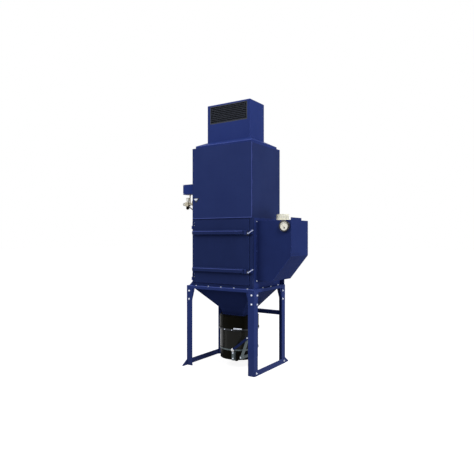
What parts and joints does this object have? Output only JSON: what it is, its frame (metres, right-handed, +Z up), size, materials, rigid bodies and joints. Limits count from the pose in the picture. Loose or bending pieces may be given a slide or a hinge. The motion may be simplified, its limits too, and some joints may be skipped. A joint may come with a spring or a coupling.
{
  "type": "cartridge dust collector",
  "caption": "Tall cartridge dust collector on a legged frame with a hopper, clamped dust drum on a dolly, hinged access door, side inlet box and top outlet grille.",
  "frame": {"origin": "centre of the four anchor holes, on the floor", "axes": "+X to the machine's right (the inlet side), +Y to its back, +Z up"},
  "size_m": [1.55, 0.95, 3.308],
  "materials": {
    "paint": "satin",
    "panel_paint": "satin",
    "frame_paint": "satin",
    "black_paint": "satin",
    "zinc": "zinc plated",
    "grey_steel": "dull",
    "galvanised": "galvanised",
    "filter_media": "pleated",
    "dial": "printed",
    "bezel": "gloss",
    "light_grey": "matt",
    "blue_box": "satin",
    "fitting": "worn",
    "tyre": "matt"
  },
  "bodies": {
    "housing": {"leg_front_left": "frame_paint", "leg_front_right": "frame_paint", "leg_rear_left": "frame_paint", "leg_rear_right": "frame_paint", "gusset_front_left": "frame_paint", "gusset_front_right": "frame_paint", "gusset_rear_left": "frame_paint", "gusset_rear_right": "frame_paint", "side_rails": "frame_paint", "rear_rail": "frame_paint", "support_flange": "frame_paint", "base_brackets": "frame_paint", "hopper": "paint", "drum_hood": "black_paint", "dust_drum": "black_paint", "clamp_ring": "grey_steel", "dolly_ring": "grey_steel", "drum_dolly": "black_paint", "castor_forks": "zinc", "castor_wheels": "tyre", "lift_links": "grey_steel", "lift_lever": "frame_paint", "lever_knob": "light_grey", "left_wall": "paint", "right_wall": "paint", "rear_wall": "paint", "front_frame": "paint", "tube_sheet": "galvanised", "filter_cartridge_1": "filter_media", "filter_cartridge_2": "filter_media", "filter_cartridge_3": "filter_media", "filter_cartridge_4": "filter_media", "door_hinges": "paint", "latch_keepers": "paint", "plenum_housing": "paint", "upper_panel": "panel_paint", "panel_latch": "zinc", "roof_cap": "paint", "fan_box": "paint", "outlet_grille": "black_paint", "inlet_box": "paint", "inlet_spigot": "galvanised", "gauge_case": "bezel", "gauge_dial": "dial", "control_box": "blue_box", "air_regulator": "fitting", "regulator_cap": "light_grey", "regulator_bowl": "black_paint"},
    "access_door": {"access_door": "panel_paint", "door_bar_upper": "panel_paint", "door_bar_lower": "panel_paint"},
    "latch_upper": {"latch_lever_upper": "zinc"},
    "latch_lower": {"latch_lever_lower": "zinc"},
    "clamp_lever": {"clamp_lever": "zinc"}
  },
  "joints": [
    {"name": "door_hinge", "type": "hinge", "parent": "housing", "child": "access_door", "pos_m": [-0.43, -0.351, 1.442], "axis": [0, 0, -1], "range_deg": [0, 110]},
    {"name": "latch_upper_turn", "type": "hinge", "parent": "access_door", "child": "latch_upper", "pos_m": [0.412, -0.368, 1.666], "axis": [0, -1, 0], "range_deg": [0, 90]},
    {"name": "latch_lower_turn", "type": "hinge", "parent": "access_door", "child": "latch_lower", "pos_m": [0.412, -0.368, 1.207], "axis": [0, -1, 0], "range_deg": [0, 90]},
    {"name": "clamp_turn", "type": "hinge", "parent": "housing", "child": "clamp_lever", "pos_m": [0.135, -0.25562, 0.482], "axis": [0, 0, -1], "range_deg": [0, 110]}
  ]
}
